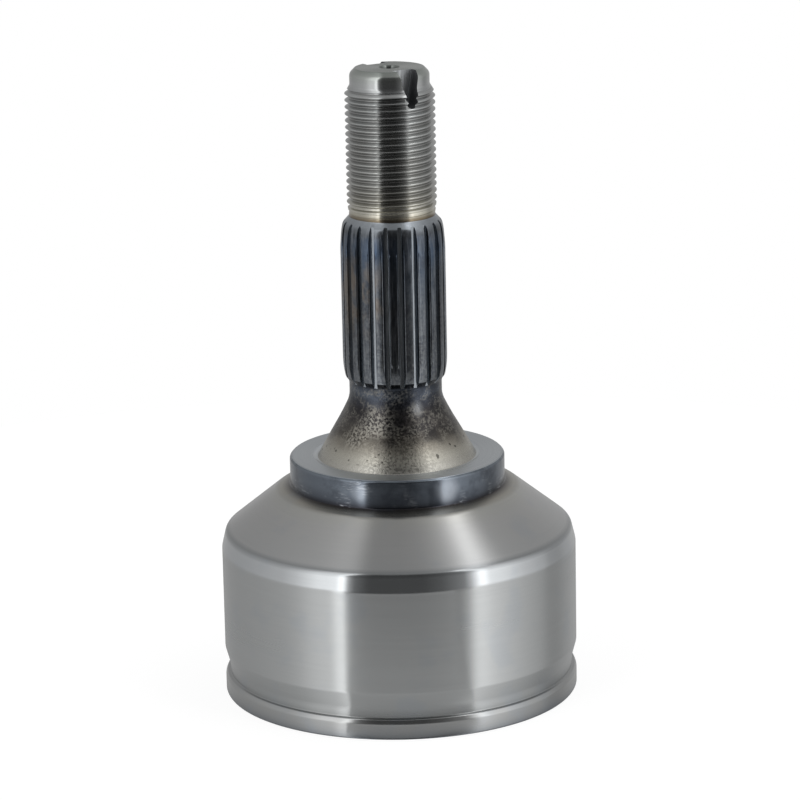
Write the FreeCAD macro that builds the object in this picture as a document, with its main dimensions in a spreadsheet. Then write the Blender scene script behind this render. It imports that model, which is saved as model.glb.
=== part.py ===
import FreeCAD, Part
import os
import re
import Sketcher

from FreeCAD import Placement, Rotation, Vector

# Fixed constant-velocity joint, wheel side: a bell-shaped outer race with a splined and
# threaded stub, an inner race, a ball cage, six balls and a wire snap ring.
# Millimetres. The bell stands on its mouth: Z is 0 at the mouth rim and runs up the stub.

# Driving dimensions: alias, value, what it is
SIZES = [
    ("track_count", 6, "balls, tracks and cage windows"),
    ("centre_height", 15.5, "joint centre above the mouth rim"),
    ("ball_diameter", 15.875, "bearing ball"),
    ("ball_circle_radius", 27.0, "ball centres from the axis at rest"),
    ("track_offset", 2.5, "track centres from the joint centre, up and down the axis"),
    ("track_clearance", 0.22, "track radius over the ball's"),
    ("track_reach", 32.0, "angle that the tracks run past the equator to their inner end"),
    ("track_run_out", 60.0, "angle that the cutter runs on past an open end"),

    ("bell_radius", 39.8, "bell's turned cylinder"),
    ("rim_radius", 39.8, "rim below the boot groove"),
    ("rim_chamfer", 0.7, "bottom edge"),
    ("rim_height", 3.4, "top of the rim's cylinder"),
    ("rim_shoulder_height", 4.9, "top of the rim's slope, where the groove starts"),
    ("rim_shoulder_radius", 39.45, "rim's edge at the groove"),
    ("groove_radius", 38.75, "floor of the boot groove"),
    ("groove_low", 6.2, "lower end of the groove's floor"),
    ("groove_high", 7.4, "upper end of the groove's floor"),
    ("groove_top", 10.9, "where the groove meets the bell"),
    ("bell_height", 32.8, "top of the bell's cylinder"),
    ("band_radius", 38.9, "top of the polished band above the cylinder"),
    ("band_height", 36.7, "where the band turns into the cone"),
    ("corner_radius", 38.3, "cone's edge inside the rounded corner"),
    ("corner_height", 37.75, "cone's edge height"),
    ("cone_radius", 28.4, "cone's small end"),
    ("cone_height", 45.8, "cone's small end height"),
    ("ledge_radius", 24.9, "foot of the bearing shoulder's root"),
    ("ledge_height", 47.2, "height of that foot"),

    ("shoulder_radius", 24.05, "bearing shoulder"),
    ("shoulder_height", 53.8, "bearing shoulder's top face"),
    ("shoulder_foot", 48.1, "bottom of the shoulder's cylinder"),
    ("shoulder_chamfer", 0.5, "edge of the shoulder"),
    ("seat_radius", 17.65, "foot of the flare on the shoulder"),
    ("relief_depth", 0.35, "undercut round the flare's foot"),
    ("relief_width", 1.1, "width of that undercut"),
    ("flare_step_radius", 17.1, "flare's edge above its foot"),
    ("flare_step_height", 54.9, "height of that edge"),
    ("flare_low_radius", 14.5, "flare's middle"),
    ("flare_low_height", 59.8, "height of the flare's middle"),
    ("flare_mid_radius", 12.27, "flare below the neck"),
    ("flare_mid_height", 63.7, "height there"),
    ("neck_radius", 10.3, "neck below the spline"),
    ("neck_low", 67.8, "lower end of the neck"),
    ("neck_high", 70.1, "upper end of the neck"),

    ("tooth_count", 22, "hub spline teeth"),
    ("tooth_radius", 11.62, "outside of the hub spline"),
    ("tooth_root_radius", 10.4, "floor of the hub spline"),
    ("tooth_gap_outer", 1.62, "gap between teeth at the tips"),
    ("tooth_gap_inner", 0.75, "gap between teeth at the floor"),
    ("spline_fade_radius", 11.0, "tooth ends half way down their run-out"),
    ("spline_fade_height", 71.95, "height there"),
    ("spline_shoulder_radius", 11.5, "tooth ends where the run-out starts"),
    ("spline_shoulder_height", 73.9, "height there"),
    ("spline_low", 76.0, "lower end of the full teeth"),
    ("spline_full", 101.5, "upper end of the full teeth"),
    ("spline_lead_radius", 11.3, "rounded lead-in"),
    ("spline_lead_height", 105.3, "height of the lead-in"),
    ("spline_tip_radius", 10.95, "lead-in's top edge"),
    ("spline_tip_height", 106.8, "height of that edge"),

    ("blank_radius", 9.47, "plain stem below the thread, as it is before rolling"),
    ("blank_low", 108.4, "foot of the plain stem"),
    ("thread_low", 111.6, "lower end of the full thread"),
    ("thread_start", 108.55, "height at which the thread's root starts, to the right of the axis"),
    ("thread_fade_low", 109.3, "where the thread has run out to nothing"),
    ("thread_fade_high", 112.9, "upper end of the cone that the roots run out on"),
    ("thread_fade_radius", 8.95, "that cone's small end"),
    ("thread_crest_radius", 9.93, "thread crests"),
    ("thread_root_radius", 9.08, "thread roots"),
    ("thread_pitch", 1.5, "thread pitch"),
    ("thread_root_flat", 0.2, "flat at the thread root"),
    ("thread_crest_flat", 0.34, "flat on the thread crest"),
    ("thread_full", 135.4, "top of the full thread"),
    ("nose_low", 137.4, "foot of the plain nose"),
    ("nose_radius", 8.78, "plain nose"),
    ("nose_high", 140.0, "top of the plain nose"),
    ("end_radius", 7.95, "flat end face"),
    ("overall_height", 141.6, "rim to end face"),

    ("slot_count", 2, "staking slots"),
    ("slot_azimuth", 31.0, "staking slots, turned from the front"),
    ("slot_floor_radius", 5.3, "floor of the staking slots"),
    ("slot_top_width", 4.5, "slot width at the end face"),
    ("slot_low_width", 3.2, "slot width at its lower end"),
    ("slot_low", 133.2, "lower end of the slots"),
    ("drill_radius", 1.3, "centre drilling"),
    ("drill_depth", 5.5, "depth of the centre drilling"),
    ("drill_mouth_radius", 2.3, "its countersink"),
    ("drill_mouth_depth", 1.7, "depth of the countersink"),

    ("socket_radius", 30.4, "spherical bore of the bell"),
    ("socket_floor", 43.0, "flat floor of the bell's bore"),
    ("mouth_radius", 34.0, "mouth chamfer at the rim"),
    ("mouth_depth", 5.9, "height at which the mouth chamfer meets the bore"),

    ("cage_clearance", 0.2, "gap between each pair of spheres"),
    ("cage_thickness", 4.4, "cage wall"),
    ("cage_half_width", 13.5, "half the cage's width"),
    ("cage_edge", 0.6, "chamfers on the cage's rims"),
    ("window_clearance", 0.32, "cage window over the ball, each side"),
    ("window_play", 1.35, "how far a ball can move along its window, each way"),
    ("window_corner", 4.0, "corner radius of the windows"),

    ("hub_half_width", 11.0, "half the inner race's width"),
    ("hub_edge", 0.7, "chamfer round the inner race's faces"),
    ("bore_teeth", 26, "shaft spline teeth"),
    ("bore_tip_radius", 10.2, "tips of the shaft spline"),
    ("bore_root_radius", 11.0, "floor of the shaft spline"),
    ("bore_gap_outer", 0.85, "gap between shaft spline teeth at the floor"),
    ("bore_gap_inner", 1.5, "gap between shaft spline teeth at the tips"),
    ("counterbore_radius", 11.2, "plain lead-in of the shaft bore"),
    ("counterbore_depth", 3.0, "depth of that lead-in"),
    ("counterbore_chamfer", 0.5, "its edge"),
    ("ring_wire_radius", 0.9, "snap ring wire"),
    ("ring_gap", 36.0, "opening of the snap ring, in degrees"),
    ("ring_proud", 0.75, "how far the ring stands into the bore"),
    ("ring_side_clearance", 0.1, "ring groove over the wire, each side"),
    ("ring_set_back", 2.6, "snap ring's plane below the inner race's upper face"),
    ("cutter_overrun", 0.6, "how far cutters reach out of the steel"),
]

UPRIGHT = "XZ_Plane"
FLAT = "XY_Plane"


def make_sizes(doc):
    """The spreadsheet that drives every sketch and feature."""
    sheet = doc.addObject("Spreadsheet::Sheet", "Sizes")
    for row, (alias, value, meaning) in enumerate(SIZES, start=1):
        sheet.set("A%d" % row, meaning)
        sheet.set("B%d" % row, str(value))
        sheet.setAlias("B%d" % row, alias)
    doc.recompute()
    return sheet


class Bench:
    """Builds features whose sizes are expressions in the sheet's aliases."""

    def __init__(self, doc):
        self.doc = doc
        self.sheet = make_sizes(doc)
        self.aliases = {alias for alias, value, meaning in SIZES}

    def bound(self, text):
        """The expression with each alias written as a cell of the sheet."""
        def name(found):
            word = found.group(0)
            return "Sizes." + word if word in self.aliases else word
        return re.sub(r"[A-Za-z_]\w*", name, text)

    def value(self, text):
        """The expression's present value."""
        return float(self.sheet.evalExpression(text))

    def bind(self, thing, path, text):
        thing.setExpression(path, self.bound(text))

    def body(self, name):
        body = self.doc.addObject("PartDesign::Body", name)
        body.Label = name
        return body

    def sketch(self, body, name, plane, lift="0", turn="0"):
        """Empty sketch on an origin plane, turned about Z and then lifted along its normal."""
        sketch = body.newObject("Sketcher::SketchObject", name)
        support = [item for item in body.Origin.OriginFeatures if item.Role == plane]
        sketch.AttachmentSupport = [(support[0], "")]
        sketch.MapMode = "FlatFace"
        if plane == FLAT:
            spin, shift = Vector(0, 0, 1), {"z": lift}
        else:
            spin = Vector(0, 1, 0)
            shift = {"x": "(%s) * sin(%s)" % (lift, turn), "z": "(%s) * cos(%s)" % (lift, turn)}
        sketch.AttachmentOffset = Placement(Vector(0, 0, 0), Rotation(spin, 90))
        self.bind(sketch, "AttachmentOffset.Rotation.Angle", turn)
        for way, text in shift.items():
            self.bind(sketch, "AttachmentOffset.Base." + way, text)
        return sketch

    def fix(self, sketch, geometry, end, across, along):
        """Holds a point of the sketch at two expressions. A leading ~ leaves that one free."""
        for kind, text in (("DistanceX", across), ("DistanceY", along)):
            if text.startswith("~"):
                continue
            place = self.value(text)
            index = sketch.addConstraint(Sketcher.Constraint(kind, -1, 1, geometry, end, place))
            self.bind(sketch, "Constraints[%d]" % index, text)

    def outline(self, sketch, corners, arcs=None):
        """Closed outline through corners. arcs gives the centre of the stretch after a corner,
        and whether it runs anticlockwise."""
        arcs = arcs or {}
        points = []
        for across, along in corners:
            place = Vector(self.value(across.lstrip("~")), self.value(along.lstrip("~")), 0)
            points.append(place)
        count = len(corners)
        ends = []
        for index, start in enumerate(points):
            finish = points[(index + 1) % count]
            if index not in arcs:
                geometry = sketch.addGeometry(Part.LineSegment(start, finish), False)
                ends.append((geometry, 1, 2))
                continue
            across, along, anticlockwise = arcs[index]
            centre = Vector(self.value(across), self.value(along), 0)
            circle = Part.Circle(centre, Vector(0, 0, 1), (start - centre).Length)
            first, last = (start, finish) if anticlockwise else (finish, start)
            arc = Part.ArcOfCircle(circle, circle.parameter(first), circle.parameter(last))
            geometry = sketch.addGeometry(arc, False)
            ends.append((geometry, 1, 2) if anticlockwise else (geometry, 2, 1))
            self.fix(sketch, geometry, 3, across, along)
        for index in range(count):
            geometry, start, finish = ends[index]
            following = ends[(index + 1) % count]
            joined = Sketcher.Constraint("Coincident", geometry, finish, following[0], following[1])
            sketch.addConstraint(joined)
        for index, (across, along) in enumerate(corners):
            geometry, start, finish = ends[index]
            self.fix(sketch, geometry, start, across, along)

    def circle(self, sketch, across, along, radius):
        centre = Vector(self.value(across), self.value(along), 0)
        ring = Part.Circle(centre, Vector(0, 0, 1), self.value(radius))
        geometry = sketch.addGeometry(ring, False)
        self.fix(sketch, geometry, 3, across, along)
        size = Sketcher.Constraint("Radius", geometry, self.value(radius))
        index = sketch.addConstraint(size)
        self.bind(sketch, "Constraints[%d]" % index, radius)

    def feature(self, body, kind, name, sketch=None):
        feature = body.newObject("PartDesign::" + kind, name)
        if sketch is not None:
            feature.Profile = sketch
        return feature

    def turned(self, body, kind, name, sketch):
        """Revolution or Groove of a sketch right round the body's axis."""
        feature = self.feature(body, kind, name, sketch)
        feature.ReferenceAxis = (sketch, ["V_Axis"])
        feature.Angle = 360
        return feature

    def repeat(self, body, name, originals, count):
        """The same cuts again, evenly round the body's axis."""
        pattern = body.newObject("PartDesign::PolarPattern", name)
        pattern.Originals = originals
        axis = [item for item in body.Origin.OriginFeatures if item.Role == "Z_Axis"]
        pattern.Axis = (axis[0], [""])
        pattern.Angle = 360
        pattern.Occurrences = int(self.value(count))
        self.bind(pattern, "Occurrences", count)
        body.Tip = pattern
        return pattern

    def ball_track(self, body, centre, upper_end):
        """Half-round track that a ball-nosed cutter leaves, swung about a centre on the axis.
        It runs out below, and to upper_end, an angle above that centre, with a round end."""
        swing = "sqrt(ball_circle_radius^2 + track_offset^2)"
        cutter = "(ball_diameter / 2 + track_clearance)"
        sketch = self.sketch(body, "TrackSection", FLAT, lift=centre)
        self.circle(sketch, "0", "-" + swing, cutter)
        cut = self.feature(body, "Groove", "Track", sketch)
        cut.ReferenceAxis = (sketch, ["H_Axis"])
        cut.Type = "TwoAngles"
        self.bind(cut, "Angle", "track_run_out")
        self.bind(cut, "Angle2", upper_end)
        reach = "%s * cos(%s)" % (swing, upper_end)
        end = self.sketch(body, "TrackEndSection", FLAT,
                          lift="%s + %s * sin(%s)" % (centre, swing, upper_end))
        self.outline(
            end,
            [("0", "-%s - %s" % (reach, cutter)), ("0", "~-%s + %s" % (reach, cutter))],
            {0: ("0", "-" + reach, True)},
        )
        nose = self.turned(body, "Groove", "TrackEnd", end)
        self.repeat(body, "Tracks", [cut, nose], "track_count")


def stub_outline():
    """Turned outline of the outer race, from the mouth's centre round to the end face."""
    return [
        ("0", "0"),
        ("rim_radius - rim_chamfer", "0"),
        ("rim_radius", "rim_chamfer"),
        ("rim_radius", "rim_height"),
        ("rim_shoulder_radius", "rim_shoulder_height"),
        ("groove_radius", "groove_low"),
        ("groove_radius", "groove_high"),
        ("bell_radius", "groove_top"),
        ("bell_radius", "bell_height"),
        ("band_radius", "band_height"),
        ("corner_radius", "corner_height"),
        ("cone_radius", "cone_height"),
        ("ledge_radius", "ledge_height"),
        ("shoulder_radius", "shoulder_foot"),
        ("shoulder_radius", "shoulder_height - shoulder_chamfer"),
        ("shoulder_radius - shoulder_chamfer", "shoulder_height"),
        ("seat_radius + relief_width", "shoulder_height"),
        ("seat_radius + relief_width / 2", "shoulder_height - relief_depth"),
        ("seat_radius", "shoulder_height - relief_depth"),
        ("flare_step_radius", "flare_step_height"),
        ("flare_low_radius", "flare_low_height"),
        ("flare_mid_radius", "flare_mid_height"),
        ("neck_radius", "neck_low"),
        ("neck_radius", "neck_high"),
        ("spline_fade_radius", "spline_fade_height"),
        ("spline_shoulder_radius", "spline_shoulder_height"),
        ("tooth_radius", "spline_low"),
        ("tooth_radius", "spline_full"),
        ("spline_lead_radius", "spline_lead_height"),
        ("spline_tip_radius", "spline_tip_height"),
        ("blank_radius", "blank_low"),
        ("thread_crest_radius", "thread_low"),
        ("thread_crest_radius", "thread_full"),
        ("nose_radius", "nose_low"),
        ("nose_radius", "nose_high"),
        ("end_radius", "overall_height"),
        ("0", "overall_height"),
    ]


def make_outer_race(bench):
    """Bell, bearing shoulder, hub spline and hub thread, forged and turned in one piece."""
    body = bench.body("outer_race")
    sketch = bench.sketch(body, "TurnedOutline", UPRIGHT)
    bench.outline(sketch, stub_outline())
    bench.turned(body, "Revolution", "Turned", sketch)

    socket = bench.sketch(body, "SocketOutline", UPRIGHT)
    floor = "sqrt(socket_radius^2 - (socket_floor - centre_height)^2)"
    lip = "sqrt(socket_radius^2 - (centre_height - mouth_depth)^2)"
    bench.outline(
        socket,
        [
            ("0", "-rim_height"),
            ("mouth_radius + rim_height", "-rim_height"),
            ("mouth_radius", "0"),
            (lip, "mouth_depth"),
            ("~" + floor, "socket_floor"),
            ("0", "socket_floor"),
        ],
        {3: ("0", "centre_height", True)},
    )
    bench.turned(body, "Groove", "Socket", socket)
    bench.doc.recompute()

    bench.ball_track(body, "centre_height - track_offset", "track_reach")

    valley = bench.sketch(
        body, "SplineGap", FLAT, lift="blank_low", turn="180 / tooth_count")
    flare = "(tooth_gap_outer - tooth_gap_inner) / (tooth_radius - tooth_root_radius)"
    bench.outline(valley, gap_outline("tooth_root_radius", "tooth_gap_inner",
                                      "tooth_radius + cutter_overrun",
                                      "tooth_gap_outer + cutter_overrun * " + flare))
    cut = bench.feature(body, "Pocket", "SplineCut", valley)
    bench.bind(cut, "Length", "blank_low - neck_high")
    bench.repeat(body, "Splines", [cut], "tooth_count")

    cut_staking_slots(bench, body)
    cut_centre_drilling(bench, body)
    cut_thread(bench, body)


def gap_outline(inner, inner_width, outer, outer_width):
    """Four-cornered gap between two teeth, at the front of the axis."""
    return [
        ("-(%s) / 2" % inner_width, "-(%s)" % inner),
        ("-(%s) / 2" % outer_width, "-(%s)" % outer),
        ("(%s) / 2" % outer_width, "-(%s)" % outer),
        ("(%s) / 2" % inner_width, "-(%s)" % inner),
    ]


def cut_thread(bench, body):
    """The hub thread: one groove swept up a helix, running out into the plain stem below."""
    flank = "(thread_pitch - thread_crest_flat - thread_root_flat) / 2"
    depth = "thread_crest_radius - thread_root_radius"
    over = "thread_root_flat / 2"
    half_outer = "(thread_root_flat / 2 + (%s) * (1 + (%s) / (%s)))" % (flank, over, depth)
    outer = "thread_crest_radius + " + over
    centre = "thread_start"
    groove = bench.sketch(body, "ThreadGroove", UPRIGHT)
    bench.outline(groove, [
        ("thread_root_radius", "%s - thread_root_flat / 2" % centre),
        (outer, "%s - %s" % (centre, half_outer)),
        (outer, "%s + %s" % (centre, half_outer)),
        ("thread_root_radius", "%s + thread_root_flat / 2" % centre),
    ])
    thread = bench.feature(body, "SubtractiveHelix", "Thread", groove)
    thread.ReferenceAxis = (groove, ["V_Axis"])
    thread.Mode = "pitch-height-angle"
    bench.bind(thread, "Pitch", "thread_pitch")
    bench.bind(thread, "Height", "nose_low + thread_pitch / 2 - thread_start")

    fade = bench.sketch(body, "ThreadRunOut", UPRIGHT)
    bench.outline(fade, [
        ("0", "spline_tip_height"),
        ("thread_root_radius", "spline_tip_height"),
        ("blank_radius - thread_crest_flat / 10", "blank_low"),
        ("blank_radius", "thread_fade_low"),
        ("thread_fade_radius", "thread_fade_high"),
        ("0", "thread_fade_high"),
    ])
    bench.turned(body, "Revolution", "RunOut", fade)


def cut_staking_slots(bench, body):
    """Two slots down the thread, where the nut's collar is staked in."""
    sketch = bench.sketch(body, "SlotOutline", UPRIGHT, lift="slot_floor_radius",
                          turn="slot_azimuth")
    top = "overall_height + slot_top_width / 2"
    bend = "slot_low + slot_low_width / 2"
    bench.outline(
        sketch,
        [
            ("-slot_top_width / 2", top),
            ("-slot_low_width / 2", bend),
            ("~slot_low_width / 2", bend),
            ("slot_top_width / 2", top),
        ],
        {1: ("0", bend, True)},
    )
    slot = bench.feature(body, "Pocket", "Slot", sketch)
    slot.Reversed = True
    bench.bind(slot, "Length", "thread_crest_radius")
    bench.repeat(body, "Slots", [slot], "slot_count")


def cut_centre_drilling(bench, body):
    """Countersunk centre hole that the stub was turned on."""
    sketch = bench.sketch(body, "DrillOutline", UPRIGHT)
    bench.outline(sketch, [
        ("0", "overall_height - drill_depth - drill_radius / 2"),
        ("drill_radius", "overall_height - drill_depth"),
        ("drill_radius", "overall_height - drill_mouth_depth"),
        ("drill_mouth_radius", "overall_height"),
        ("drill_mouth_radius", "overall_height + drill_radius"),
        ("0", "overall_height + drill_radius"),
    ])
    bench.turned(body, "Groove", "CentreDrilling", sketch)


CAGE_OUTER = "(socket_radius - cage_clearance)"
CAGE_INNER = "(socket_radius - cage_clearance - cage_thickness)"
HUB_SPHERE = "(socket_radius - 2 * cage_clearance - cage_thickness)"
HUB_LOW = "(centre_height - hub_half_width)"
HUB_HIGH = "(centre_height + hub_half_width)"
RING_HEIGHT = "(centre_height + hub_half_width - ring_set_back)"
RING_CENTRE = "(bore_tip_radius - ring_proud + ring_wire_radius)"


def on_sphere(radius, rise):
    """How far out a sphere about the joint centre stands at a height above that centre."""
    return "sqrt(%s^2 - (%s)^2)" % (radius, rise)


def make_cage(bench):
    """Spherical ring with a window for each ball."""
    body = bench.body("cage")
    low = "centre_height - cage_half_width"
    high = "centre_height + cage_half_width"
    rim = on_sphere(CAGE_OUTER, "cage_half_width")
    edge = on_sphere(CAGE_OUTER, "cage_half_width - cage_edge")
    sill = on_sphere(CAGE_INNER, "cage_half_width")
    centre = ("0", "centre_height")
    sketch = bench.sketch(body, "CageOutline", UPRIGHT)
    bench.outline(
        sketch,
        [
            ("~" + sill, low),
            (rim + " - cage_edge", low),
            (edge, low + " + cage_edge"),
            ("~" + edge, high + " - cage_edge"),
            (rim + " - cage_edge", high),
            (sill, high),
        ],
        {2: centre + (True,), 5: centre + (False,)},
    )
    bench.turned(body, "Revolution", "Turned", sketch)

    window = bench.sketch(body, "WindowOutline", UPRIGHT)
    side = "(ball_diameter / 2 + window_play)"
    inner_side = "(ball_diameter / 2 + window_play - window_corner)"
    rise = "(ball_diameter / 2 + window_clearance)"
    inner_rise = "(ball_diameter / 2 + window_clearance - window_corner)"
    top, bend = "centre_height + " + rise, "centre_height + " + inner_rise
    bottom, low_bend = "centre_height - " + rise, "centre_height - " + inner_rise
    bench.outline(
        window,
        [
            ("~" + side, low_bend),
            (side, bend),
            (inner_side, "~" + top),
            ("-" + inner_side, top),
            ("~-" + side, bend),
            ("-" + side, low_bend),
            ("-" + inner_side, "~" + bottom),
            (inner_side, bottom),
        ],
        {
            1: (inner_side, bend, True),
            3: ("-" + inner_side, bend, True),
            5: ("-" + inner_side, low_bend, True),
            7: (inner_side, low_bend, True),
        },
    )
    cut = bench.feature(body, "Pocket", "Window", window)
    cut.Reversed = True
    bench.bind(cut, "Length", "socket_radius")
    bench.repeat(body, "Windows", [cut], "track_count")


def make_inner_race(bench):
    """Ball-shaped hub with a track for each ball and a splined bore for the drive shaft."""
    body = bench.body("inner_race")
    face = on_sphere(HUB_SPHERE, "hub_half_width")
    edge = on_sphere(HUB_SPHERE, "hub_half_width - hub_edge")
    ring_floor = RING_CENTRE + " + ring_wire_radius + ring_proud"
    ring_half = "(ring_wire_radius + ring_side_clearance)"
    step = HUB_LOW + " + counterbore_depth"
    sketch = bench.sketch(body, "HubOutline", UPRIGHT)
    bench.outline(
        sketch,
        [
            ("counterbore_radius + counterbore_chamfer", HUB_LOW),
            (face + " - hub_edge", HUB_LOW),
            (edge, HUB_LOW + " + hub_edge"),
            ("~" + edge, HUB_HIGH + " - hub_edge"),
            (face + " - hub_edge", HUB_HIGH),
            ("bore_root_radius + counterbore_chamfer", HUB_HIGH),
            ("bore_tip_radius", HUB_HIGH + " - (bore_root_radius - bore_tip_radius) / 2"),
            ("bore_tip_radius", RING_HEIGHT + " + " + ring_half),
            (ring_floor, RING_HEIGHT + " + " + ring_half),
            (ring_floor, RING_HEIGHT + " - " + ring_half),
            ("bore_tip_radius", RING_HEIGHT + " - " + ring_half),
            ("bore_tip_radius", step + " + (counterbore_radius - bore_tip_radius) / 2"),
            ("counterbore_radius", step),
            ("counterbore_radius", HUB_LOW + " + counterbore_chamfer"),
        ],
        {2: ("0", "centre_height", True)},
    )
    bench.turned(body, "Revolution", "Turned", sketch)
    bench.ball_track(body, "centre_height + track_offset", "track_run_out")

    gap = bench.sketch(body, "ShaftSplineGap", FLAT, lift=HUB_HIGH)
    bench.outline(gap, gap_outline("bore_tip_radius - counterbore_chamfer", "bore_gap_inner",
                                   "bore_root_radius", "bore_gap_outer"))
    cut = bench.feature(body, "Pocket", "ShaftSplineCut", gap)
    bench.bind(cut, "Length", "2 * hub_half_width - counterbore_depth")
    bench.repeat(body, "ShaftSplines", [cut], "bore_teeth")


def make_balls(bench):
    """One ball in each track, on the joint's middle plane, the first at the front."""
    for number in range(1, int(bench.value("track_count")) + 1):
        ball = bench.doc.addObject("Part::Sphere", "ball_%d" % number)
        ball.Label = "ball_%d" % number
        azimuth = "(%d * 360 / track_count - 90)" % (number - 1)
        bench.bind(ball, "Radius", "ball_diameter / 2")
        bench.bind(ball, "Placement.Base.x", "ball_circle_radius * cos(%s)" % azimuth)
        bench.bind(ball, "Placement.Base.y", "ball_circle_radius * sin(%s)" % azimuth)
        bench.bind(ball, "Placement.Base.z", "centre_height")


def make_snap_ring(bench):
    """Open wire ring in the inner race's groove, which the drive shaft snaps into."""
    ring = bench.doc.addObject("Part::Torus", "snap_ring")
    ring.Label = "snap_ring"
    bench.bind(ring, "Radius1", RING_CENTRE)
    bench.bind(ring, "Radius2", "ring_wire_radius")
    bench.bind(ring, "Angle3", "360 - ring_gap")
    bench.bind(ring, "Placement.Base.z", RING_HEIGHT)


def check(doc):
    """Stops if anything in the document failed to build."""
    for item in doc.Objects:
        if "Invalid" in item.State or "Error" in item.State:
            raise RuntimeError("%s did not build" % item.Label)


def export(doc):
    """Writes each piece as one STEP file of one sound solid."""
    pieces = [item for item in doc.Objects
              if item.isDerivedFrom("PartDesign::Body") or item.isDerivedFrom("Part::Primitive")
              and item.getParentGeoFeatureGroup() is None]
    for piece in pieces:
        shape = piece.Shape
        if shape.isNull() or not shape.isValid() or len(shape.Solids) != 1:
            raise RuntimeError("%s is not one sound solid" % piece.Label)
    os.makedirs("parts", exist_ok=True)
    for piece in pieces:
        piece.Shape.exportStep(os.path.join("parts", piece.Label + ".step"))
        print("%-12s %10.1f mm3" % (piece.Label, piece.Shape.Volume))


def main():
    doc = FreeCAD.newDocument("cv_joint")
    bench = Bench(doc)
    make_outer_race(bench)
    make_cage(bench)
    make_inner_race(bench)
    make_balls(bench)
    make_snap_ring(bench)
    doc.recompute()
    check(doc)
    export(doc)


main()
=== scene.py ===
import math

import bmesh
import bpy
from bpy.props import FloatProperty, FloatVectorProperty, IntProperty, PointerProperty
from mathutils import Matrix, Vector


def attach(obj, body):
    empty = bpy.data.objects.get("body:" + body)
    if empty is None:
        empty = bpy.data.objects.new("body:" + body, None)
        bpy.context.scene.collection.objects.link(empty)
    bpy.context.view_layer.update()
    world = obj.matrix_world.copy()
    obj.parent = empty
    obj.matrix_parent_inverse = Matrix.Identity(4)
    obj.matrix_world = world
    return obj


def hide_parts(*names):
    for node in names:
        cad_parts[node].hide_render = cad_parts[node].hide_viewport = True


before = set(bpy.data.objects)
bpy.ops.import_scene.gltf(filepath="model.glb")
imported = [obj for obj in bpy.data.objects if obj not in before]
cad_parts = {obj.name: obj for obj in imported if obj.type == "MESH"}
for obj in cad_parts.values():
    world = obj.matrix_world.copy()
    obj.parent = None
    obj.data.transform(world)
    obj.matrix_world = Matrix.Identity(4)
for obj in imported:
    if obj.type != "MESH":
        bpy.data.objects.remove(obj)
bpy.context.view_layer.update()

bl_info = {
    "name": "Constant-velocity joint",
    "version": (1, 0, 0),
    "blender": (4, 5, 0),
    "location": "View3D > Sidebar > CV Joint",
    "description": "Dresses the packed wheel-side joint in turned, rolled and tempered steel",
    "category": "Object",
}

MM = 0.001
FULL_TURN = 2 * math.pi
MERGE = 1e-7


# Strength of the studio light above the horizon: degrees from the front, right-hand side positive
WALL_LIGHTS = (
    (-180, 0.40), (-158, 0.42), (-132, 0.49), (-102, 0.60), (-80, 0.70), (-70, 0.90), (-61, 1.20),
    (-54, 1.45), (-44, 1.55), (-40.5, 1.60), (-39, 2.15), (-36, 2.15), (-33.3, 0.55), (-29, 0.20),
    (-20, 0.09), (15, 0.09), (27, 0.14), (42, 0.30), (46, 0.70), (49, 1.20), (53, 2.15), (56, 2.15),
    (60, 1.50), (72, 1.30), (87, 0.90), (105, 0.65), (118, 0.50), (136, 0.50), (153, 0.52),
    (180, 0.40),
)
# The same below the horizon, where a white table would throw it back
TABLE_LIGHTS = (
    (-180, 0.42), (-158, 0.45), (-132, 0.48), (-102, 0.55), (-80, 0.63), (-70, 0.73), (-61, 0.91),
    (-52, 1.00), (-46.5, 0.98), (-44.5, 1.15), (-42, 1.65), (-40, 1.85), (-36.6, 1.95),
    (-35, 1.10), (-33.3, 0.45), (-29.5, 0.12), (-20, 0.05), (15, 0.05), (29, 0.16), (40, 0.40),
    (46, 0.58), (48.5, 1.30), (51, 1.50), (63, 1.15), (75, 0.93), (89, 0.77), (105, 0.61),
    (112, 0.44), (124, 0.42), (136, 0.50), (153, 0.52), (180, 0.42),
)
# The same overhead, by how far a direction leans sideways: -1 is left and 1 is right
ROOF_LIGHTS = (
    (-0.60, 0.50), (-0.45, 0.56), (-0.33, 0.72), (-0.28, 0.70), (-0.23, 0.47), (-0.18, 0.42),
    (0.0, 0.44), (0.12, 0.46), (0.22, 0.55), (0.36, 0.85), (0.41, 1.30), (0.435, 2.80),
    (0.47, 2.90), (0.49, 1.10), (0.54, 0.62), (0.60, 0.52),
)
# How steeply a direction rises, from 0 to 1, where one set of lights gives way to the next
HORIZON = (-0.06, 0.06)
VAULT = (0.78, 0.92)
STRONGEST = 4.0


# Sizes and colours that a user would change

def length(name, millimetres, description):
    return FloatProperty(
        name=name, description=description, default=millimetres * MM, min=0.0,
        subtype="DISTANCE", unit="LENGTH", precision=5,
    )


def colour(name, code, description):
    return FloatVectorProperty(
        name=name, description=description, default=linear(code), min=0.0, max=1.0,
        size=4, subtype="COLOR",
    )


def linear(code):
    """An sRGB hex colour as linear RGBA."""
    channels = [int(code[place:place + 2], 16) / 255 for place in (1, 3, 5)]
    return tuple(
        channel / 12.92 if channel <= 0.04045 else ((channel + 0.055) / 1.055) ** 2.4
        for channel in channels
    ) + (1.0,)


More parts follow.
